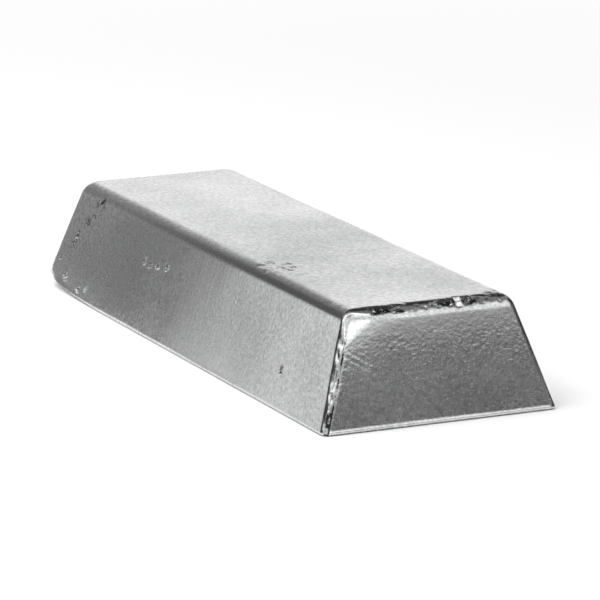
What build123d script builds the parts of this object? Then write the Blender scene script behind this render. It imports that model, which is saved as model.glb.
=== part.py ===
from build123d import *
import os
from math import radians, tan

# Cast aluminium ingot: one solid bar, poured into an open tapered mould and turned out of it.
# The wide face, which was open in the mould, lies down, so the bar narrows upwards.
# Millimetres and degrees. The origin is the middle of the base, +X runs along the bar and +Z is up.

# Driving dimensions
base_length = 255.0        # along the bar, at the base, before its edges are rounded
base_width = 90.0          # across the bar, at the base, before its edges are rounded
height = 40.0              # base to top face
side_draft = 18.6          # lean of the two long walls from the upright
end_draft = 14.3           # lean of the two end walls from the upright
corner_radius = 3.4        # the four upright corners
top_edge_radius = 6.2      # where the walls turn into the mould's floor
base_edge_radius = 1.2     # where the molten metal stood away from the mould's wall


def lean(draft):
    """How far a drafted wall moves inwards between the base and the top."""
    return height * tan(radians(draft))


def tapered_block():
    """The bar with sharp edges: a rectangle at the base, drawn in to a smaller one at the top."""
    end_lean = lean(end_draft)
    side_lean = lean(side_draft)
    block = Wedge(
        xsize=base_length,
        ysize=height,
        zsize=base_width,
        xmin=end_lean,
        zmin=side_lean,
        xmax=base_length - end_lean,
        zmax=base_width - side_lean,
        align=(Align.CENTER, Align.MIN, Align.CENTER),
    )
    return Rot(X=90) * block


def ingot():
    """The block with its top edges, upright corners and base edges rounded, in that order."""
    bar = tapered_block()
    bar = fillet(bar.faces().sort_by(Axis.Z)[-1].edges(), top_edge_radius)
    upright = bar.edges().filter_by(lambda edge: edge.bounding_box().size.Z > height / 2)
    bar = fillet(upright, corner_radius)
    bar = fillet(bar.faces().sort_by(Axis.Z)[0].edges(), base_edge_radius)
    return bar


os.makedirs("parts", exist_ok=True)
export_step(ingot(), "parts/ingot.step")
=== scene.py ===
import math

import bmesh
import bpy
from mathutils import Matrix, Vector


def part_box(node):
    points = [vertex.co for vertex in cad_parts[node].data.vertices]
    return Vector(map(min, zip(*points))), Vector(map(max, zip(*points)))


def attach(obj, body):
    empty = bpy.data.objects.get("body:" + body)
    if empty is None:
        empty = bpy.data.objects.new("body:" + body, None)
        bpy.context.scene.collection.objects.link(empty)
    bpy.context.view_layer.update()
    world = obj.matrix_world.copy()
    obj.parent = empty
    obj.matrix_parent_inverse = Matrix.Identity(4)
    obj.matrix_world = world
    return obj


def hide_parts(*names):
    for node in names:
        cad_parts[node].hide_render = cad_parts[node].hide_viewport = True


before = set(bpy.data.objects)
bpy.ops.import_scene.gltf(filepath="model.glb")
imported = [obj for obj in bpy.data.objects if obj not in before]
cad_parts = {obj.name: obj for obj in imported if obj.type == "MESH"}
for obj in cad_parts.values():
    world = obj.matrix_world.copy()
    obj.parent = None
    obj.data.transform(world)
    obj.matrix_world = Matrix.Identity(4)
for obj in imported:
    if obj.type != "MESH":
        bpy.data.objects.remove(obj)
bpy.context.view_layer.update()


# The bar's form
# A solid bar of aluminium, poured into an open tapered mould and turned out on its wide face.
# Its walls lean in by the mould's draft, and every edge is as round as the mould's corners left it.

MM = 0.001
end_draft = math.radians(14.3)
side_draft = math.radians(18.6)
corner_radius = 3.4 * MM
top_edge_radius = 6.2 * MM
base_edge_radius = 1.2 * MM


def rim_overhang(draft):
    """How far the sharp base edge would stand out past the rounded rim."""
    return base_edge_radius * ((1.0 + math.sin(draft)) / math.cos(draft) - 1.0)


bar_low, bar_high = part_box("ingot")
tuck = 0.03 * MM
base_length = bar_high.x - bar_low.x + 2.0 * (rim_overhang(end_draft) - tuck)
base_width = bar_high.y - bar_low.y + 2.0 * (rim_overhang(side_draft) - tuck)
height = bar_high.z - bar_low.z

# The skin's mesh: cells of 0.4 mm at the ends, which are knocked about most, to 1.2 mm in the middle,
# 0.6 mm across the bar and 0.8 mm up its walls
cells_along = 270
cells_across = 150
base_arc_levels = 5
wall_levels = 42
top_arc_levels = 18
crowding = 0.28

# The seed of every uneven thing on the skin: another number is another bar from the same mould
pour = 3

MATH = "ShaderNodeMath"
VECTOR = "ShaderNodeVectorMath"
RANGE = "ShaderNodeMapRange"
SPLIT = "ShaderNodeSeparateXYZ"
NOISE = "ShaderNodeTexNoise"


def add(tree, kind, sockets=(), output=0, **settings):
    """Adds a node with its settings and its sockets, linked or set, and gives one output, or all for None."""
    made = tree.nodes.new(kind)
    for name, value in settings.items():
        setattr(made, name, value)
    pairs = sockets.items() if isinstance(sockets, dict) else enumerate(sockets)
    for key, value in pairs:
        if isinstance(value, bpy.types.NodeSocket):
            tree.links.new(value, made.inputs[key])
        else:
            made.inputs[key].default_value = value
    return made.outputs if output is None else made.outputs[output]


skin = bpy.data.node_groups.new("ingot skin", "GeometryNodeTree")
sizes = {
    "Base Length": base_length,
    "Base Width": base_width,
    "Height": height,
    "End Draft": end_draft,
    "Side Draft": side_draft,
    "Corner Radius": corner_radius,
    "Top Edge Radius": top_edge_radius,
    "Base Edge Radius": base_edge_radius,
}
counts = {
    "Cells Along": cells_along,
    "Cells Across": cells_across,
    "Base Arc Levels": base_arc_levels,
    "Wall Levels": wall_levels,
    "Top Arc Levels": top_arc_levels,
    "Pour": pour,
}
for name in sizes:
    skin.interface.new_socket(name, in_out="INPUT", socket_type="NodeSocketFloat")
for name in counts:
    skin.interface.new_socket(name, in_out="INPUT", socket_type="NodeSocketInt")
skin.interface.new_socket("Metal", in_out="INPUT", socket_type="NodeSocketMaterial")
skin.interface.new_socket("Skin", in_out="OUTPUT", socket_type="NodeSocketGeometry")
given = add(skin, "NodeGroupInput", output=None)

# A cube of cells, from -1 to 1 each way, whose third axis counts the levels up the wall's profile
arc_levels = add(skin, MATH, [given["Base Arc Levels"], given["Top Arc Levels"]], operation="ADD")
levels = add(skin, MATH, [arc_levels, given["Wall Levels"]], operation="ADD")
cells = add(
    skin,
    "GeometryNodeMeshCube",
    {
        "Size": (2.0, 2.0, 2.0),
        "Vertices X": add(skin, MATH, [given["Cells Along"], 1.0], operation="ADD"),
        "Vertices Y": add(skin, MATH, [given["Cells Across"], 1.0], operation="ADD"),
        "Vertices Z": add(skin, MATH, [levels, 1.0], operation="ADD"),
    },
)
cell = add(skin, "GeometryNodeInputPosition")
even_along, across, up = add(skin, SPLIT, [cell], output=None)
squared = add(skin, MATH, [even_along, even_along], operation="MULTIPLY")
spread = add(skin, MATH, [squared, -crowding, 1.0 + crowding], operation="MULTIPLY_ADD")
along = add(skin, MATH, [even_along, spread], operation="MULTIPLY")
level = add(skin, RANGE, {"Value": up, "From Min": -1.0, "From Max": 1.0, "To Max": levels})
wall_end = add(skin, MATH, [given["Base Arc Levels"], given["Wall Levels"]], operation="ADD")
base_turn = add(skin, RANGE, {"Value": level, "From Max": given["Base Arc Levels"]})
wall_share = add(
    skin, RANGE, {"Value": level, "From Min": given["Base Arc Levels"], "From Max": wall_end}
)
top_turn = add(skin, RANGE, {"Value": level, "From Min": wall_end, "From Max": levels})

# The profile: a base arc, a straight wall and a top arc, each tangent to the next, on the mean draft
quarter_turn = math.pi / 2.0
both_drafts = add(skin, MATH, [given["End Draft"], given["Side Draft"]], operation="ADD")
draft = add(skin, MATH, [both_drafts, 0.5], operation="MULTIPLY")
draft_sine = add(skin, MATH, [draft], operation="SINE")
draft_cosine = add(skin, MATH, [draft], operation="COSINE")
base_sweep = add(skin, MATH, [quarter_turn, draft], operation="ADD")
base_left = add(skin, MATH, [1.0, base_turn], operation="SUBTRACT")
base_angle = add(skin, MATH, [base_sweep, base_left], operation="MULTIPLY")
top_sweep = add(skin, MATH, [quarter_turn, draft], operation="SUBTRACT")
top_angle = add(skin, MATH, [top_sweep, top_turn], operation="MULTIPLY")

insets = []
for radius, angle in ((given["Base Edge Radius"], base_angle), (given["Top Edge Radius"], top_angle)):
    cosine = add(skin, MATH, [angle], operation="COSINE")
    fall = add(skin, MATH, [1.0, cosine], operation="SUBTRACT")
    reach = add(skin, MATH, [radius, draft_cosine], operation="DIVIDE")
    insets.append(add(skin, MATH, [reach, fall], operation="MULTIPLY"))
inset = add(skin, MATH, insets, operation="ADD")

base_lean = add(skin, MATH, [draft, base_angle], operation="SUBTRACT")
base_sine = add(skin, MATH, [add(skin, MATH, [base_lean], operation="SINE"), 1.0], operation="ADD")
base_rise = add(skin, MATH, [given["Base Edge Radius"], base_sine], operation="MULTIPLY")
top_lean = add(skin, MATH, [draft, top_angle], operation="ADD")
top_sine = add(skin, MATH, [add(skin, MATH, [top_lean], operation="SINE"), draft_sine], operation="SUBTRACT")
top_rise = add(skin, MATH, [given["Top Edge Radius"], top_sine], operation="MULTIPLY")
base_share = add(skin, MATH, [1.0, draft_sine], operation="ADD")
top_share = add(skin, MATH, [1.0, draft_sine], operation="SUBTRACT")
base_arc_rise = add(skin, MATH, [given["Base Edge Radius"], base_share], operation="MULTIPLY")
top_arc_rise = add(skin, MATH, [given["Top Edge Radius"], top_share], operation="MULTIPLY")
arc_rise = add(skin, MATH, [base_arc_rise, top_arc_rise], operation="ADD")
wall_height = add(skin, MATH, [given["Height"], arc_rise], operation="SUBTRACT")
wall_rise = add(skin, MATH, [wall_height, wall_share], operation="MULTIPLY")
rise = add(skin, MATH, [add(skin, MATH, [base_rise, wall_rise], operation="ADD"), top_rise], operation="ADD")

# The plan at that level: a rectangle drawn in by the draft and the arcs, with its corners rounded, most at
# the back
back_softness = 1.9
softness = add(
    skin, RANGE, {"Value": along, "From Min": -1.0, "From Max": 0.5, "To Min": back_softness, "To Max": 1.0}
)
round_whole = add(skin, MATH, [given["Corner Radius"], softness], operation="MULTIPLY")
round_left = add(skin, MATH, [round_whole, inset], operation="SUBTRACT")
plan_radius = add(skin, MATH, [round_left, 1.0 * MM], operation="MAXIMUM")
halves = []
for size, lean in (("Base Length", "End Draft"), ("Base Width", "Side Draft")):
    slope = add(skin, MATH, [given[lean]], operation="TANGENT")
    drawn_in = add(skin, MATH, [rise, slope, inset], operation="MULTIPLY_ADD")
    half = add(skin, MATH, [given[size], 0.5], operation="MULTIPLY")
    halves.append(add(skin, MATH, [half, drawn_in], operation="SUBTRACT"))
sharp = add(
    skin,
    "ShaderNodeCombineXYZ",
    [
        add(skin, MATH, [along, halves[0]], operation="MULTIPLY"),
        add(skin, MATH, [across, halves[1]], operation="MULTIPLY"),
    ],
)
straight = add(
    skin,
    "ShaderNodeCombineXYZ",
    [add(skin, MATH, [half, plan_radius], operation="SUBTRACT") for half in halves],
)
backward = add(skin, VECTOR, {0: straight, "Scale": -1.0}, operation="SCALE")
not_past = add(skin, VECTOR, [sharp, straight], operation="MINIMUM")
held = add(skin, VECTOR, [not_past, backward], operation="MAXIMUM")
past = add(skin, VECTOR, [sharp, held], operation="SUBTRACT")
past_size = add(skin, SPLIT, [add(skin, VECTOR, [past], operation="ABSOLUTE")], output=None)
past_along = past_size["X"]
past_across = past_size["Y"]
farthest = add(skin, MATH, [past_along, past_across], operation="MAXIMUM")
nearest = add(skin, MATH, [past_along, past_across], operation="MINIMUM")
outward = add(skin, VECTOR, [past], operation="NORMALIZE")
turned = add(skin, VECTOR, {0: outward, "Scale": farthest}, operation="SCALE")
plan = add(skin, VECTOR, [held, turned], operation="ADD")
place = add(skin, VECTOR, [plan, add(skin, "ShaderNodeCombineXYZ", {"Z": rise})], operation="ADD")

# How far a point is round the top edge, and round an upright corner: 0 on the flats, 1 in the middle.
# The upper edge is the part of the top edge's turn next to the top, and a corner's turn runs from 0 on a long
# side to 1 on an end.
top_middle = add(skin, MATH, [top_turn, 0.5], operation="SUBTRACT")
top_off_middle = add(skin, MATH, [top_middle], operation="ABSOLUTE")
top_edge = add(skin, RANGE, {"Value": top_off_middle, "From Min": 0.5, "From Max": 0.0})
turn_begins = add(skin, RANGE, {"Value": top_turn, "From Min": 0.24, "From Max": 0.36})
turn_ends = add(skin, RANGE, {"Value": top_turn, "From Min": 0.95, "From Max": 0.75})
upper_edge = add(skin, MATH, [turn_begins, turn_ends], operation="MULTIPLY")
corner = add(skin, MATH, [nearest, plan_radius], operation="DIVIDE")
corner_angle = add(skin, MATH, [past_along, past_across], operation="ARCTAN2")
corner_turn = add(skin, MATH, [corner_angle, quarter_turn], operation="DIVIDE")
for name, mask in (
    ("top_edge", top_edge),
    ("upper_edge", upper_edge),
    ("corner", corner),
    ("corner_turn", corner_turn),
):
    cells = add(skin, "GeometryNodeStoreNamedAttribute", {"Geometry": cells, "Name": name, "Value": mask})
formed = add(skin, "GeometryNodeSetPosition", {"Geometry": cells, "Position": place})

# Where on the skin a point is: above the rim, on an end, near the front, on the top, left of the middle
spot = add(skin, "GeometryNodeInputPosition")
facing = add(skin, "GeometryNodeInputNormal")
spot_x, spot_y, spot_z = add(skin, SPLIT, [spot], output=None)
facing_parts = add(skin, SPLIT, [facing], output=None)
facing_along = add(skin, MATH, [facing_parts["X"]], operation="ABSOLUTE")
half_length = base_length / 2.0
half_width = base_width / 2.0
masks = {}
for name, value, none, all_of_it in (
    ("above rim", spot_z, 0.2 * MM, 1.5 * MM),
    ("end wall", facing_along, 0.75, 0.94),
    ("end and its edges", facing_along, 0.10, 0.96),
    ("near front", spot_x, half_length - 32.0 * MM, half_length - 14.0 * MM),
    ("top face", facing_parts["Z"], 0.90, 0.99),
    ("left of middle", spot_y, 24.0 * MM, 12.0 * MM),
):
    masks[name] = add(
        skin,
        RANGE,
        {"Value": value, "From Min": none, "From Max": all_of_it},
        interpolation_type="SMOOTHSTEP",
    )
upper_edge, corner, corner_turn = [
    add(skin, "GeometryNodeInputNamedAttribute", {"Name": name})
    for name in ("upper_edge", "corner", "corner_turn")
]
top_half_length = half_length - math.tan(end_draft) * height
top_half_width = half_width - math.tan(side_draft) * height
knocked_at = Vector((top_half_length, -top_half_width, height))
from_knock = add(skin, VECTOR, [spot, knocked_at], output="Value", operation="DISTANCE")
off_knock = add(skin, RANGE, {"Value": from_knock, "From Min": 7.0 * MM, "From Max": 10.0 * MM})
uneven_corner = add(skin, MATH, [corner, masks["left of middle"]], operation="MULTIPLY")
end_turn = add(skin, RANGE, {"Value": corner_turn, "From Min": 0.6, "From Max": 0.9, "To Min": 0.3})
uneven_edge = add(skin, MATH, [upper_edge, end_turn], operation="MULTIPLY")
edge = add(skin, MATH, [uneven_edge, uneven_corner], operation="MAXIMUM")
end_share = add(skin, RANGE, {"Value": masks["near front"], "To Min": 0.10, "To Max": off_knock})
masks["edge"] = add(skin, MATH, [edge, end_share], operation="MULTIPLY")

# The relief that the pour left, always inwards from the mould's own surface. Each row is a feature's size
# in millimetres, the detail in it, where its noise begins and is full, its depth and its place.
depth = 0.0
for size, detail, begins, full, deep, where in (
    (70.0, 1.0, 0.25, 0.75, 0.45, "above rim"),
    (22.0, 1.0, 0.25, 0.75, 0.05, "above rim"),
    (7.0, 1.5, 0.46, 0.78, 0.50, "edge"),
    (2.4, 1.0, 0.48, 0.72, 0.40, "edge"),
):
    noise = add(
        skin,
        NOISE,
        {"Vector": spot, "W": given["Pour"], "Scale": 1.0 / (size * MM), "Detail": detail},
        noise_dimensions="4D",
    )
    hollow = add(
        skin,
        RANGE,
        {"Value": noise, "From Min": begins, "From Max": full, "To Max": deep * MM},
        interpolation_type="SMOOTHSTEP",
    )
    depth = add(skin, MATH, [hollow, masks[where], depth], operation="MULTIPLY_ADD")

# The ends are a little crowned: they fall back towards the rim and towards the top
crown_depth = 0.38 * MM
from_middle = add(
    skin, RANGE, {"Value": spot_z, "From Max": given["Height"], "To Min": -1.0, "To Max": 1.0}
)
middle_squared = add(skin, MATH, [from_middle, 2.0], operation="POWER")
crown = add(skin, MATH, [middle_squared, crown_depth], operation="MULTIPLY")
depth = add(skin, MATH, [crown, masks["end and its edges"], depth], operation="MULTIPLY_ADD")

# At the foot of the ends the wall flares out a little, where the metal met the mould's brim
flare_from = 1.7 * MM
flare_to = 0.3 * MM
flare_depth = 0.10 * MM
flare = add(
    skin,
    RANGE,
    {"Value": spot_z, "From Min": flare_to, "From Max": flare_from, "To Max": flare_depth},
    interpolation_type="SMOOTHSTEP",
)
depth = add(skin, MATH, [flare, masks["end wall"], depth], operation="MULTIPLY_ADD")

# A patch of wrinkled skin beside the top's edge, where the metal froze first: grooves along the middle
# contour of a stretched noise, in a patch with a ragged outline
wrinkle_size = Vector((4.8, 3.5, 3.5)) * MM
wrinkle_depth = 0.35 * MM
patch_middle = Vector((48.0, -23.0, 40.0)) * MM
patch_half = Vector((18.0, 7.5, 6.0)) * MM
ragged_size = 6.0 * MM
raggedness = 2.2
from_patch = add(skin, VECTOR, [spot, patch_middle], operation="SUBTRACT")
patch_share = add(skin, VECTOR, [from_patch, patch_half], operation="DIVIDE")
patch_reach = add(skin, VECTOR, [patch_share], output="Value", operation="LENGTH")
ragged = add(skin, NOISE, {"Vector": spot, "Scale": 1.0 / ragged_size, "Detail": 1.0})
patch_edge = add(skin, MATH, [ragged, raggedness, patch_reach], operation="MULTIPLY_ADD")
patch = add(
    skin,
    RANGE,
    {"Value": patch_edge, "From Min": 2.0, "From Max": 1.1},
    interpolation_type="SMOOTHSTEP",
)
stretched = add(skin, VECTOR, [spot, wrinkle_size], operation="DIVIDE")
wrinkle_noise = add(
    skin,
    NOISE,
    {"Vector": stretched, "W": given["Pour"], "Scale": 1.0, "Detail": 1.0, "Distortion": 0.7},
    noise_dimensions="4D",
)
past_contour = add(skin, MATH, [wrinkle_noise, 0.5], operation="SUBTRACT")
off_contour = add(skin, MATH, [past_contour], operation="ABSOLUTE")
groove = add(
    skin,
    RANGE,
    {"Value": off_contour, "From Max": 0.11, "To Min": wrinkle_depth, "To Max": 0.0},
    interpolation_type="SMOOTHSTEP",
)
depth = add(skin, MATH, [groove, patch, depth], operation="MULTIPLY_ADD")

# The cold lap across the top: one shallow crease, where two fronts of metal met
lap_from = Vector((45.5, -6.0, 40.0)) * MM
lap_to = Vector((33.5, 33.0, 40.0)) * MM
lap_half_width = 1.1 * MM
lap_depth = 0.11 * MM
lap_wander = 5.0 * MM
lap_bend_size = 9.0 * MM
lap_run = (lap_to - lap_from).normalized()
lap_side = Vector((-lap_run.y, lap_run.x, 0.0))
lap_half = (lap_to - lap_from).length / 2.0
from_lap = add(skin, VECTOR, [spot, (lap_from + lap_to) / 2.0], operation="SUBTRACT")
lap_noise = add(skin, NOISE, {"Vector": spot, "Scale": 1.0 / lap_bend_size, "Detail": 1.0})
lap_drift = add(skin, MATH, [lap_noise, 0.5], operation="SUBTRACT")
wander = add(skin, MATH, [lap_drift, lap_wander], operation="MULTIPLY")
across_lap = add(skin, VECTOR, [from_lap, lap_side], output="Value", operation="DOT_PRODUCT")
along_lap = add(skin, VECTOR, [from_lap, lap_run], output="Value", operation="DOT_PRODUCT")
off_lap = add(skin, MATH, [add(skin, MATH, [across_lap, wander], operation="ADD")], operation="ABSOLUTE")
past_lap = add(skin, MATH, [along_lap], operation="ABSOLUTE")
lap_fade = add(skin, RANGE, {"Value": past_lap, "From Min": lap_half, "From Max": lap_half * 0.5})
lap = add(
    skin,
    RANGE,
    {"Value": off_lap, "From Max": lap_half_width, "To Min": lap_depth, "To Max": 0.0},
    interpolation_type="SMOOTHSTEP",
)
lap_on_top = add(skin, MATH, [lap_fade, masks["top face"]], operation="MULTIPLY")
depth = add(skin, MATH, [lap, lap_on_top, depth], operation="MULTIPLY_ADD")

# Pits, where gas came out of the metal: each row is a place, a radius and a depth in millimetres. On the
# long side a place is how far along and how high it is. A noise pushes their outlines about.
side_slope = math.tan(side_draft)
pits = [
    (Vector((112.0, 24.0, 39.6)), 2.0, 0.5),
    (Vector((114.5, 27.0, 39.2)), 2.2, 0.7),
    (Vector((110.0, 28.0, 39.6)), 1.8, 0.5),
    (Vector((114.0, 15.0, 39.0)), 1.6, 0.7),
]
for x, z, radius, deep in (
    (-93.0, 36.6, 2.6, 1.00),
    (-96.0, 34.6, 1.6, 0.45),
    (-90.5, 34.8, 1.5, 0.40),
    (-96.0, 30.4, 1.6, 0.40),
    (-100.0, 27.5, 2.2, 0.60),
    (-105.5, 22.0, 2.2, 0.55),
    (-107.0, 18.5, 2.1, 0.50),
    (-115.0, 11.5, 1.4, 0.25),
    (-44.0, 24.5, 1.6, 0.20),
    (-38.0, 23.8, 1.7, 0.30),
    (-32.0, 25.0, 1.4, 0.20),
    (-24.0, 26.0, 1.8, 0.40),
    (-106.0, 6.5, 2.4, 0.35),
    (-92.0, 4.2, 2.0, 0.30),
    (-86.0, 6.0, 1.5, 0.20),
    (84.0, 13.0, 1.4, 0.35),
):
    pits.append((Vector((x, side_slope * z - half_width / MM, z)), radius, deep))
pit_unevenness = 2.4 * MM
push_size = 1.8 * MM
push_noise = add(skin, NOISE, {"Vector": spot, "Scale": 1.0 / push_size, "Detail": 1.0}, output="Color")
pushed = add(
    skin, VECTOR, [push_noise, (pit_unevenness,) * 3, (-pit_unevenness / 2.0,) * 3], operation="MULTIPLY_ADD"
)
uneven_spot = add(skin, VECTOR, [spot, pushed], operation="ADD")
pitted = 0.0
for pit_at, radius, deep in pits:
    from_pit = add(skin, VECTOR, [uneven_spot, pit_at * MM], output="Value", operation="DISTANCE")
    pit = add(skin, RANGE, {"Value": from_pit, "From Max": radius * MM, "To Min": 1.0, "To Max": 0.0})
    depth = add(skin, MATH, [pit, deep * MM, depth], operation="MULTIPLY_ADD")
    pitted = add(skin, MATH, [pitted, pit], operation="MAXIMUM")

# Nicks in the far edge of the top, by how far along they are
nick_half = 2.2 * MM
nick_depth = 0.5 * MM
for x in (37.5, 46.0, -70.6):
    nick_at = Vector((x * MM, top_half_width - 2.0 * MM, height))
    from_nick = add(skin, VECTOR, [spot, nick_at], output="Value", operation="DISTANCE")
    nick = add(skin, RANGE, {"Value": from_nick, "From Max": nick_half, "To Min": nick_depth, "To Max": 0.0})
    depth = add(skin, MATH, [depth, nick], operation="ADD")

# The chip out of the top edge of the front end: a notch, steep on its near side and sloping on its far side
chip_at = Vector((top_half_length - 1.7 * MM, 10.6 * MM, height - 0.85 * MM))
chip_steep = 0.6 * MM
chip_slope = 1.9 * MM
chip_depth = 1.4 * MM
chip_half = 3.1 * MM
chip_floor = 2.1 * MM
off_chip = add(skin, MATH, [spot_y, chip_at.y], operation="SUBTRACT")
chip_near = add(skin, RANGE, {"Value": off_chip, "From Min": -chip_steep, "From Max": 0.0})
chip_far = add(skin, RANGE, {"Value": off_chip, "From Min": chip_slope, "From Max": 0.0})
chip_section = add(skin, MATH, [chip_near, chip_far], operation="MINIMUM")
from_chip = add(skin, VECTOR, [spot, chip_at], operation="SUBTRACT")
in_section = add(skin, VECTOR, [from_chip, (1.0, 0.0, 1.0)], operation="MULTIPLY")
chip_reach = add(skin, VECTOR, [in_section], output="Value", operation="LENGTH")
chip = add(
    skin,
    RANGE,
    {"Value": chip_reach, "From Min": chip_half, "From Max": chip_floor, "To Max": chip_depth},
)
depth = add(skin, MATH, [chip, chip_section, depth], operation="MULTIPLY_ADD")

# The corner that the metal ran short of, at the back, and the corner that was knocked flat, at the front:
# planes across them, given by how far each reaches along the three axes from there and by its softness, in
# millimetres
cut = spot
short_at = Vector((-half_length, -half_width, 0.0))
for corner_at, reach, soft in (
    (short_at, Vector((14.0, 11.0, 11.0)), 4.0),
    (short_at, Vector((42.0, 24.0, 4.2)), 3.0),
    (knocked_at, Vector((-0.82, 22.3, -2.67)), 0.4),
    (knocked_at, Vector((-2.22, 16.7, -5.0)), 0.2),
):
    inward = Vector((1.0 / reach.x, 1.0 / reach.y, 1.0 / reach.z))
    to_plane = MM / inward.length
    inward.normalize()
    from_corner = add(skin, VECTOR, [cut, corner_at], operation="SUBTRACT")
    within = add(skin, VECTOR, [from_corner, inward], output="Value", operation="DOT_PRODUCT")
    missing = add(skin, MATH, [to_plane, within], operation="SUBTRACT")
    shift = add(skin, MATH, [missing, 0.0, soft * MM], operation="SMOOTH_MAX")
    cut_away = add(skin, VECTOR, {0: inward, "Scale": shift}, operation="SCALE")
    cut = add(skin, VECTOR, [cut, cut_away], operation="ADD")

inwards = add(skin, MATH, [depth, -1.0], operation="MULTIPLY")
sunk = add(skin, VECTOR, {0: facing, "Scale": inwards}, operation="SCALE")
skin_place = add(skin, VECTOR, [cut, sunk], operation="ADD")
marked = formed
for name, mask in (("end_wall", masks["end wall"]), ("top_face", masks["top face"]), ("pitted", pitted)):
    marked = add(skin, "GeometryNodeStoreNamedAttribute", {"Geometry": marked, "Name": name, "Value": mask})
relieved = add(skin, "GeometryNodeSetPosition", {"Geometry": marked, "Position": skin_place})

smooth = add(skin, "GeometryNodeSetShadeSmooth", {"Geometry": relieved})
joined = add(skin, "GeometryNodeRealizeInstances", {"Geometry": smooth})
finished = add(skin, "GeometryNodeSetMaterial", {"Geometry": joined, "Material": given["Metal"]})
add(skin, "NodeGroupOutput", [finished], output=None)


# The bar's metal
# Bare aluminium as it came out of the mould: a thin grey oxide skin, satin on the flats and brighter where
# the front edges were rubbed, with dark specks at the front, painted shade in the pits, and bare metal in the
# chip painted pure white as a highlight.

def colour(code):
    """An sRGB hex colour as a linear RGBA value."""
    parts = [int(code[i:i + 2], 16) / 255.0 for i in (1, 3, 5)]
    return [c / 12.92 if c <= 0.04045 else ((c + 0.055) / 1.055) ** 2.4 for c in parts] + [1.0]


clean_metal = colour("#F2F2F3")
dull_oxide = colour("#C1C2C3")
# The dark colour of the specks at the front, and of the painted shade in the pits
speck_and_pit_shade_colour = colour("#37383A")
# Pure white for the chip: bare metal, brightened into a painted highlight
bare_metal_painted_highlight = colour("#FFFFFF")

metal = bpy.data.materials.new("as-cast aluminium, satin oxide skin")
metal.use_nodes = True
shade = metal.node_tree
shader = shade.nodes["Principled BSDF"]
shader.inputs["Metallic"].default_value = 1.0
at = add(shade, "ShaderNodeTexCoord", output="Object")
at_x, at_y, at_z = add(shade, SPLIT, [at], output=None)
on = {}
for name in ("top_edge", "upper_edge", "corner", "corner_turn", "end_wall", "top_face", "pitted"):
    on[name] = add(shade, "ShaderNodeAttribute", output="Fac", attribute_name=name)
rubbed = add(shade, MATH, [on["top_edge"], on["corner"]], operation="MAXIMUM")

# Bloom and mottle: the oxide is uneven in patches of a few centimetres and in spots of about a millimetre,
# which are strongest on the far half of the walls. The top is dullest a little in front of its middle.
bloom_size = 42.0 * MM
mottle_size = 1.3 * MM
dullest_at = 25.0 * MM
bloom = add(shade, NOISE, {"Vector": at, "Scale": 1.0 / bloom_size, "Detail": 2.0})
mottle = add(shade, NOISE, {"Vector": at, "Scale": 1.0 / mottle_size, "Detail": 2.0, "Roughness": 0.6})
past_dullest = add(shade, MATH, [at_x, dullest_at], operation="SUBTRACT")
off_dullest = add(shade, MATH, [past_dullest], operation="ABSOLUTE")
top_bloom = add(
    shade,
    RANGE,
    {"Value": off_dullest, "From Min": 100.0 * MM, "From Max": 25.0 * MM, "To Min": -0.15, "To Max": 0.18},
)
far_share = add(shade, RANGE, {"Value": on["top_face"], "To Min": 2.7, "To Max": 1.4})
mottle_share = add(
    shade,
    RANGE,
    {"Value": at_x, "From Min": 45.0 * MM, "From Max": -30.0 * MM, "To Min": 1.4, "To Max": far_share},
)
mottle_off = add(shade, MATH, [mottle, 0.5], operation="SUBTRACT")
mottle_part = add(shade, MATH, [mottle_off, mottle_share, 0.5], operation="MULTIPLY_ADD")
patches = add(shade, MATH, [bloom, mottle_part], operation="ADD")
uneven = add(shade, MATH, [top_bloom, on["top_face"], patches], operation="MULTIPLY_ADD")
dullness = add(shade, RANGE, {"Value": uneven, "From Min": 0.5, "From Max": 1.5})
oxide = add(shade, "ShaderNodeMix", {0: dullness, 6: clean_metal, 7: dull_oxide}, output=2, data_type="RGBA")

# Dark specks, at the front alone: in the turn of the near corner, most at its foot and in a line beside the
# end, and along the end's top edge, near that corner and beside the chip. The corner that was knocked flat
# has none.
speck_size = Vector((1.9, 2.6, 2.6)) * MM
speck_place = add(shade, VECTOR, [at, speck_size], operation="DIVIDE")
speck_noise = add(shade, NOISE, {"Vector": speck_place, "Scale": 1.0, "Detail": 3.0, "Roughness": 0.65})
at_foot = add(shade, RANGE, {"Value": at_z, "From Min": 8.0 * MM, "From Max": 4.5 * MM, "To Max": 0.15})
at_front = add(
    shade,
    RANGE,
    {"Value": at_x, "From Min": half_length - 18.0 * MM, "From Max": half_length - 12.0 * MM},
)
knock_reach = add(shade, VECTOR, [at, knocked_at], output="Value", operation="DISTANCE")
off_facet = add(shade, RANGE, {"Value": knock_reach, "From Min": 8.5 * MM, "From Max": 10.5 * MM})
chip_distance = add(shade, VECTOR, [at, chip_at], output="Value", operation="DISTANCE")
notch_middle = chip_at.y + 0.7 * MM
past_notch = add(shade, MATH, [at_y, notch_middle], operation="SUBTRACT")
notch_side = add(shade, MATH, [past_notch], operation="ABSOLUTE")
off_notch = add(shade, RANGE, {"Value": notch_side, "From Min": 1.1 * MM, "From Max": 1.6 * MM})
near_side = add(shade, RANGE, {"Value": at_y, "From Min": 0.0, "From Max": -15.0 * MM})
on_end_edge = add(
    shade, RANGE, {"Value": on["corner_turn"], "From Min": 0.6, "From Max": 0.9, "To Max": 0.14}
)
by_corner = add(shade, RANGE, {"Value": at_y, "From Min": -8.0 * MM, "From Max": -15.0 * MM, "To Min": 0.02})
by_notch = add(shade, RANGE, {"Value": chip_distance, "From Min": 7.5 * MM, "From Max": 5.5 * MM})
speck_share = add(shade, MATH, [by_corner, by_notch], operation="MAXIMUM")
edge_share = add(shade, MATH, [on["upper_edge"], on_end_edge], operation="MULTIPLY")
edge_specks = add(shade, MATH, [edge_share, speck_share], operation="MULTIPLY")
speck_spread = add(shade, MATH, [edge_specks, off_notch], operation="MULTIPLY")
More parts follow.
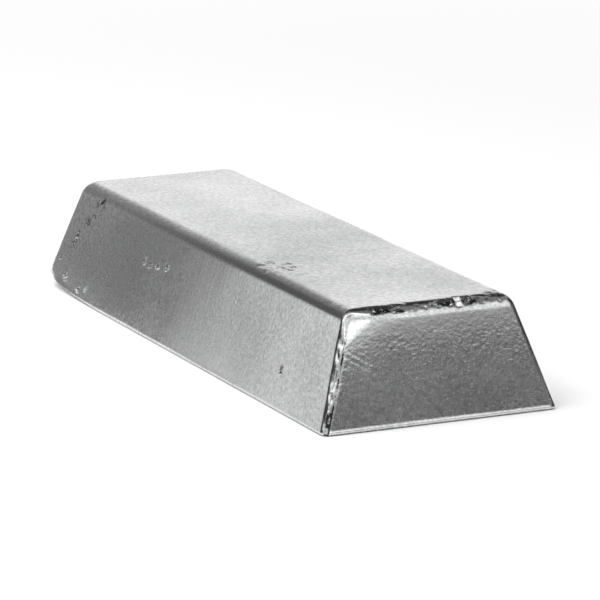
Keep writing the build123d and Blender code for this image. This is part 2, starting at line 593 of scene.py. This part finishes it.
# Each stripe's row is where in the corner's turn it begins, is full, fades and is gone, and its share of
# specks
for begins, full, fades, gone, more in ((0.30, 0.40, 0.70, 0.80, 0.01), (0.68, 0.74, 0.80, 0.86, 0.12)):
    comes = add(
        shade,
        RANGE,
        {"Value": on["corner_turn"], "From Min": begins, "From Max": full, "To Max": near_side},
    )
    goes = add(shade, RANGE, {"Value": on["corner_turn"], "From Min": gone, "From Max": fades})
    stripe = add(shade, MATH, [comes, goes], operation="MULTIPLY")
    with_foot = add(shade, MATH, [at_foot, more], operation="ADD")
    speck_spread = add(shade, MATH, [stripe, with_foot, speck_spread], operation="MULTIPLY_ADD")
speck_height = add(shade, MATH, [speck_noise, speck_spread], operation="ADD")
specks = add(shade, RANGE, {"Value": speck_height, "From Min": 0.58, "From Max": 0.66})
in_edges = add(shade, RANGE, {"Value": speck_spread, "From Max": 0.02, "To Max": off_facet})
front_specks = add(shade, MATH, [specks, at_front], operation="MULTIPLY")
specked = add(shade, MATH, [front_specks, in_edges], operation="MULTIPLY")

# Pits: their floor is rough, and painted shade darkens the hollows of it
pit_grain = 1.1 * MM
rough_noise = add(shade, NOISE, {"Vector": at, "Scale": 1.0 / pit_grain, "Detail": 2.0})
pit_hollow_shade = add(shade, RANGE, {"Value": rough_noise, "From Min": 0.54, "From Max": 0.46, "To Max": 0.9})
pit_painted_shade = add(shade, RANGE, {"Value": on["pitted"], "From Min": 0.15, "From Max": 0.45, "To Max": pit_hollow_shade})
specks_and_pit_shade = add(shade, MATH, [specked, pit_painted_shade], operation="MAXIMUM")

# The chip: bare metal, torn rough, its colour raised to pure white as a painted highlight
in_notch = add(shade, MATH, [1.0, off_notch], operation="SUBTRACT")
broken = add(
    shade,
    RANGE,
    {"Value": chip_distance, "From Min": 3.4 * MM, "From Max": 2.8 * MM, "To Max": in_notch},
)
chip_bare_and_highlight = add(shade, "ShaderNodeMix", {0: broken, 6: oxide, 7: bare_metal_painted_highlight}, output=2, data_type="RGBA")
# Here the dark specks and the painted shade in the pits darken the colour
tint = add(shade, "ShaderNodeMix", {0: specks_and_pit_shade, 6: chip_bare_and_highlight, 7: speck_and_pit_shade_colour}, output=2, data_type="RGBA")
shade.links.new(tint, shader.inputs["Base Color"])

# Gloss: satin, rougher where the oxide is dull, in the chip and in the dark specks. The edges are smoother
# than the flats at the front and rougher at the back.
satin = add(shade, RANGE, {"Value": dullness, "To Min": 0.175, "To Max": 0.315})
rubbing = add(
    shade,
    RANGE,
    {"Value": at_x, "From Min": -70.0 * MM, "From Max": 70.0 * MM, "To Min": 0.20, "To Max": -0.10},
)
burnished = add(shade, MATH, [rubbed, rubbing, satin], operation="MULTIPLY_ADD")
torn_roughness = 0.12
speck_roughness = 0.35
torn = add(shade, MATH, [broken, torn_roughness, burnished], operation="MULTIPLY_ADD")
gloss = add(shade, MATH, [specked, speck_roughness, torn], operation="MULTIPLY_ADD")
shade.links.new(gloss, shader.inputs["Roughness"])

# Mould marks: fine upright lines down the walls, the draw of the bar out of the mould
draw_spacing = 1.4 * MM
draw_length = 26.0 * MM
draw_depth = 0.022 * MM
around = add(shade, "ShaderNodeMix", {0: on["end_wall"], 2: at_x, 3: at_y}, data_type="FLOAT")
draw_place = add(
    shade,
    "ShaderNodeCombineXYZ",
    [
        add(shade, MATH, [around, draw_spacing], operation="DIVIDE"),
        add(shade, MATH, [at_z, draw_length], operation="DIVIDE"),
    ],
)
draw_lines = add(shade, NOISE, {"Vector": draw_place, "Scale": 1.0, "Detail": 2.0}, noise_dimensions="2D")
bumped = add(shade, "ShaderNodeBump", {"Height": draw_lines, "Distance": draw_depth, "Strength": 1.0})

# Swirl and grain: the satin of the skin, the grain drawn about three times as coarse as it is, to show
for size, detail, deep in ((7.0, 2.0, 0.03), (1.2, 2.0, 0.022)):
    height_of = add(shade, NOISE, {"Vector": at, "Scale": 1.0 / (size * MM), "Detail": detail})
    bumped = add(
        shade,
        "ShaderNodeBump",
        {"Height": height_of, "Distance": deep * MM, "Strength": 1.0, "Normal": bumped},
    )

# The rough metal inside the pits, and less of it in the edges that hold the dark specks
pit_roughness = 0.55 * MM
in_pit = add(shade, RANGE, {"Value": on["pitted"], "From Max": 0.6})
edge_roughness_share = 0.3
edges_at_front = add(shade, MATH, [in_edges, at_front], operation="MULTIPLY")
in_edge = add(shade, MATH, [edges_at_front, edge_roughness_share], operation="MULTIPLY")
rough_where = add(shade, MATH, [in_pit, in_edge], operation="MAXIMUM")
rough_height = add(shade, MATH, [rough_noise, rough_where], operation="MULTIPLY")
bumped = add(
    shade,
    "ShaderNodeBump",
    {"Height": rough_height, "Distance": pit_roughness, "Strength": 1.0, "Normal": bumped},
)

# The creased skin of the ends: a grain of short wrinkles that fades towards the top and the foot
fine_wrinkle_depth = 0.10 * MM
below_top = add(shade, RANGE, {"Value": at_z, "From Min": 37.0 * MM, "From Max": 24.0 * MM})
upper = add(
    shade,
    RANGE,
    {"Value": at_z, "From Min": 0.0, "From Max": 20.0 * MM, "To Min": 0.3, "To Max": below_top},
    interpolation_type="SMOOTHSTEP",
)
creased = add(shade, MATH, [upper, on["end_wall"]], operation="MULTIPLY")
for wrinkle, share_of in ((Vector((1.4, 1.4, 1.1)), 1.0), (Vector((3.0, 3.0, 2.0)), 0.6)):
    creased_place = add(shade, VECTOR, [at, wrinkle * MM], operation="DIVIDE")
    creases = add(shade, NOISE, {"Vector": creased_place, "Scale": 1.0, "Detail": 1.0})
    crease_height = add(shade, MATH, [creases, creased], operation="MULTIPLY")
    crease_depth = fine_wrinkle_depth * share_of
    bumped = add(
        shade,
        "ShaderNodeBump",
        {"Height": crease_height, "Distance": crease_depth, "Strength": 1.0, "Normal": bumped},
    )

# A comb of slanted strokes beside the near corner of the front end, scraped in as the bar left the mould
comb_at = Vector((0.0, -28.0, 22.4)) * MM
comb_slant = math.radians(-31.0)
comb_half_length = 7.5 * MM
comb_half_width = 3.6 * MM
stroke_spacing = 2.1 * MM
stroke_depth = 0.028 * MM
stroke_run = Vector((0.0, math.cos(comb_slant), math.sin(comb_slant)))
stroke_side = Vector((0.0, -math.sin(comb_slant), math.cos(comb_slant)))
from_comb = add(shade, VECTOR, [at, comb_at], operation="SUBTRACT")
along_comb = add(
    shade, VECTOR, [from_comb, stroke_run / comb_half_length], output="Value", operation="DOT_PRODUCT"
)
across_comb = add(
    shade, VECTOR, [from_comb, stroke_side / comb_half_width], output="Value", operation="DOT_PRODUCT"
)
off_comb = add(
    shade,
    VECTOR,
    [add(shade, "ShaderNodeCombineXYZ", [along_comb, across_comb])],
    output="Value",
    operation="LENGTH",
)
front_half = add(shade, RANGE, {"Value": at_x, "From Min": 0.0, "From Max": 10.0 * MM})
in_comb = add(shade, RANGE, {"Value": off_comb, "From Min": 1.0, "From Max": 0.4, "To Max": front_half})
comb_phase = 2.0 * math.pi * comb_half_width / stroke_spacing
stroke_angle = add(shade, MATH, [across_comb, comb_phase], operation="MULTIPLY")
strokes = add(shade, MATH, [stroke_angle], operation="SINE")
stroke_mask = add(shade, MATH, [in_comb, on["end_wall"]], operation="MULTIPLY")
stroke_height = add(shade, MATH, [strokes, stroke_mask], operation="MULTIPLY")
bumped = add(
    shade,
    "ShaderNodeBump",
    {"Height": stroke_height, "Distance": stroke_depth, "Strength": 1.0, "Normal": bumped},
)

# Scuffs on the top, from handling: fine lines in two directions, drawn wider than they are
scuff_length = 16.0 * MM
scuff_width = 0.7 * MM
scuff_depth = 0.012 * MM
for turn in (24.0, -52.0):
    scuff_place = add(
        shade,
        "ShaderNodeMapping",
        {
            "Vector": at,
            "Rotation": (0.0, 0.0, math.radians(turn)),
            "Scale": (1.0 / scuff_length, 1.0 / scuff_width, 0.0),
        },
    )
    scuff_noise = add(shade, NOISE, {"Vector": scuff_place, "Scale": 1.0, "Detail": 1.0})
    scuff = add(shade, RANGE, {"Value": scuff_noise, "From Min": 0.60, "From Max": 0.70})
    scuff_height = add(shade, MATH, [scuff, on["top_face"]], operation="MULTIPLY")
    bumped = add(
        shade,
        "ShaderNodeBump",
        {"Height": scuff_height, "Distance": -scuff_depth, "Strength": 1.0, "Normal": bumped},
    )
shade.links.new(bumped, shader.inputs["Normal"])

blank = bpy.data.meshes.new("ingot blank")
maker = bpy.data.objects.new("ingot maker", blank)
bpy.context.scene.collection.objects.link(maker)
modifier = maker.modifiers.new("skin", "NODES")
modifier.node_group = skin
identifiers = {item.name: item.identifier for item in skin.interface.items_tree if item.in_out == "INPUT"}
for name, value in {**sizes, **counts, "Metal": metal}.items():
    modifier[identifiers[name]] = value
evaluated = maker.evaluated_get(bpy.context.evaluated_depsgraph_get())
mesh = bpy.data.meshes.new_from_object(evaluated)
bpy.data.objects.remove(maker)
form = bmesh.new()
form.from_mesh(mesh)
flat = 0.001 * MM
under = [face for face in form.faces if all(abs(vertex.co.z) < flat for vertex in face.verts)]
bmesh.ops.dissolve_faces(form, faces=under, use_verts=False)
for face in form.faces:
    face.smooth = face.normal.z > -0.999
form.to_mesh(mesh)
form.free()
ingot = bpy.data.objects.new("cast_ingot", mesh)
bpy.context.scene.collection.objects.link(ingot)
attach(ingot, "root")
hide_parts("ingot")


# The studio
# A pale paper floor that runs out to white, a white surround, one soft lamp, and dark and pale panels
# round the bar that only its gloss sees, as a studio's walls, paper and lamps show in metal.

floor_gap = 0.2 * MM
floor_half = 12.0
paper_to = 0.30
white_from = 0.95
floor_mesh = bpy.data.meshes.new("floor")
floor_mesh.from_pydata(
    [(x * floor_half, y * floor_half, -floor_gap) for x, y in ((-1, -1), (1, -1), (1, 1), (-1, 1))],
    [],
    [(0, 1, 2, 3)],
)
floor = bpy.data.objects.new("floor", floor_mesh)
bpy.context.scene.collection.objects.link(floor)
paper = bpy.data.materials.new("pale paper, white in the distance")
paper.use_nodes = True
sheet = paper.node_tree
sheet.nodes.clear()
away = add(
    sheet, VECTOR, [add(sheet, "ShaderNodeTexCoord", output="Object")], output="Value", operation="LENGTH"
)
whiteness = add(
    sheet,
    RANGE,
    {"Value": away, "From Min": paper_to, "From Max": white_from},
    interpolation_type="SMOOTHSTEP",
)
pale = add(sheet, "ShaderNodeBsdfDiffuse", {"Color": colour("#F6F6F6")})
white = add(sheet, "ShaderNodeEmission", {"Strength": 1.0})
run_out = add(sheet, "ShaderNodeMixShader", [whiteness, pale, white])
add(sheet, "ShaderNodeOutputMaterial", {"Surface": run_out}, output=None)
floor_mesh.materials.append(paper)


def only_in_gloss(name, mesh_of, glow_of):
    """Stages a mesh that only glossy rays see, with one emission material."""
    shown = bpy.data.objects.new(name, mesh_of)
    bpy.context.scene.collection.objects.link(shown)
    shown.visible_camera = False
    shown.visible_diffuse = False
    shown.visible_transmission = False
    shown.visible_shadow = False
    mesh_of.materials.append(glow_of)


dome_radius = 2.6
dome_form = bmesh.new()
bmesh.ops.create_uvsphere(dome_form, u_segments=64, v_segments=32, radius=dome_radius)
below = [vertex for vertex in dome_form.verts if vertex.co.z < -flat]
bmesh.ops.delete(dome_form, geom=below, context="VERTS")
dome_mesh = bpy.data.meshes.new("studio dome")
dome_form.to_mesh(dome_mesh)
dome_form.free()
walls = bpy.data.materials.new("studio walls and panels")
walls.use_nodes = True
room = walls.node_tree
room.nodes.clear()
# Each panel's row is its name, its azimuth and elevation, the angles from its middle that it is full to and
# gone by, in degrees, and its tone
look = add(room, VECTOR, [add(room, "ShaderNodeTexCoord", output="Object")], operation="NORMALIZE")
tone = 0.42
for name, turn, lift_of, full_to, gone_by, panel_tone in (
    ("overhead grey", 60.0, 62.0, 16.0, 26.0, 0.22),
    ("end flag", 25.0, 2.0, 8.0, 27.0, 0.01),
    ("end glow", 30.0, 35.0, 12.0, 21.0, 1.15),
    ("right flag", 82.0, 12.0, 26.0, 38.0, 0.04),
    ("dark ceiling", 138.0, 57.0, 15.0, 24.0, 0.03),
    ("band flag", 200.0, 19.0, 5.0, 24.0, 0.10),
    ("front flag", 250.0, 12.0, 31.0, 36.0, 0.015),
    ("front glow", 307.0, 15.0, 16.0, 26.0, 0.62),
    ("corner flag", 177.0, 49.0, 15.0, 21.0, 0.04),
    ("back paper", 156.0, 4.0, 12.0, 29.0, 1.0),
    ("side strip", 211.0, 2.0, 6.0, 14.0, 0.85),
    ("softbox", 274.0, 50.0, 19.0, 27.0, 1.6),
    ("corner lamp", 8.0, 36.0, 11.0, 17.0, 1.7),
):
    azimuth, elevation = math.radians(turn), math.radians(lift_of)
    towards = (
        math.cos(azimuth) * math.cos(elevation),
        math.sin(azimuth) * math.cos(elevation),
        math.sin(elevation),
    )
    nearness = add(room, VECTOR, [look, towards], output="Value", operation="DOT_PRODUCT")
    panel = add(
        room,
        RANGE,
        {
            "Value": nearness,
            "From Min": math.cos(math.radians(gone_by)),
            "From Max": math.cos(math.radians(full_to)),
        },
        interpolation_type="SMOOTHSTEP",
        label=name,
    )
    tone = add(room, "ShaderNodeMix", {0: panel, 2: tone, 3: panel_tone}, data_type="FLOAT")
glow = add(room, "ShaderNodeEmission", {"Strength": tone})
add(room, "ShaderNodeOutputMaterial", {"Surface": glow}, output=None)
only_in_gloss("studio dome", dome_mesh, walls)

# A dark card close beside the bar, which the long side mirrors: low down it is paler towards both of its
# upright edges, and that is what shades along the side
card_away = 0.30
card_height = 0.135
card_turn = math.radians(207.5)
card_reach = (-0.13, 0.145)
card_dark = 0.09
card_out = Vector((math.cos(card_turn), math.sin(card_turn), 0.0))
card_along = Vector((-math.sin(card_turn), math.cos(card_turn), 0.0))
card_corners = []
for reach_to, top_of in ((0, 0), (1, 0), (1, 1), (0, 1)):
    card_corners.append(
        card_out * card_away + card_along * card_reach[reach_to] + Vector((0.0, 0.0, card_height * top_of))
    )
card_mesh = bpy.data.meshes.new("side card")
card_mesh.from_pydata(card_corners, [], [(0, 1, 2, 3)])
card_cloth = bpy.data.materials.new("side card")
card_cloth.use_nodes = True
cloth = card_cloth.node_tree
cloth.nodes.clear()
on_card = add(cloth, "ShaderNodeTexCoord", output="Object")
along_card = add(cloth, VECTOR, [on_card, card_along], output="Value", operation="DOT_PRODUCT")
up_card = add(cloth, SPLIT, [on_card], output="Z")
paler = 0.0
for begins, full, gain in ((0.036, 0.061, 0.91), (0.017, -0.022, 0.25)):
    part_tone = add(
        cloth,
        RANGE,
        {"Value": along_card, "From Min": begins, "From Max": full, "To Max": gain},
        interpolation_type="SMOOTHSTEP",
    )
    paler = add(cloth, MATH, [paler, part_tone], operation="ADD")
heights = []
for back_height, front_height in ((0.125, 0.142), (0.07, 0.105)):
    heights.append(
        add(
            cloth,
            RANGE,
            {
                "Value": along_card,
                "From Min": 0.041,
                "From Max": 0.052,
                "To Min": back_height,
                "To Max": front_height,
            },
        )
    )
low_down = add(
    cloth,
    RANGE,
    {"Value": up_card, "From Min": heights[0], "From Max": heights[1]},
    interpolation_type="SMOOTHSTEP",
)
foot_shade = add(cloth, RANGE, {"Value": up_card, "From Max": 0.06, "To Min": 0.66})
whole_tone = add(cloth, MATH, [paler, low_down, card_dark], operation="MULTIPLY_ADD")
card_tone = add(cloth, MATH, [whole_tone, foot_shade], operation="MULTIPLY")
card_glow = add(cloth, "ShaderNodeEmission", {"Strength": card_tone})
add(cloth, "ShaderNodeOutputMaterial", {"Surface": card_glow}, output=None)
only_in_gloss("side card", card_mesh, card_cloth)

world = bpy.data.worlds.new("white surround")
bpy.context.scene.world = world
world.use_nodes = True
air = world.node_tree
air.nodes.clear()
path = add(air, "ShaderNodeLightPath", output=None)
seen = add(air, MATH, [path["Is Camera Ray"], path["Is Glossy Ray"]], operation="MAXIMUM")
shown_white = add(air, MATH, [seen, path["Is Transmission Ray"]], operation="MAXIMUM")
strength = add(air, RANGE, {"Value": shown_white, "To Min": 0.62, "To Max": 1.0})
sky = add(air, "ShaderNodeBackground", {"Color": (1.0, 1.0, 1.0, 1.0), "Strength": strength})
add(air, "ShaderNodeOutputWorld", {"Surface": sky}, output=None)

lamp_data = bpy.data.lights.new("softbox", "AREA")
lamp_data.shape = "RECTANGLE"
lamp_data.size = 1.2
lamp_data.size_y = 1.2
lamp_data.energy = 20.0
lamp = bpy.data.objects.new("softbox", lamp_data)
bpy.context.scene.collection.objects.link(lamp)
lamp.location = (0.0, -0.7, 1.5)
lamp.rotation_euler = (Vector((0.0, 0.0, 0.02)) - lamp.location).to_track_quat("-Z", "Y").to_euler()
lamp.visible_glossy = False


# The camera
# It stands where the photograph was taken from, and a long lens fills the frame with the one bar.

camera_data = bpy.data.cameras.new("camera")
camera = bpy.data.objects.new("camera", camera_data)
bpy.context.scene.collection.objects.link(camera)
camera.location = Vector((1436.3, -659.8, 390.6)) * MM
aim = Vector((0.0, 5.9, 14.7)) * MM
camera.rotation_euler = (aim - camera.location).to_track_quat("-Z", "Y").to_euler()
camera_data.sensor_width = 36.0
camera_data.lens = 270.0
camera_data.clip_start = 0.01
bpy.context.scene.camera = camera

bpy.context.scene.view_settings.view_transform = "Standard"
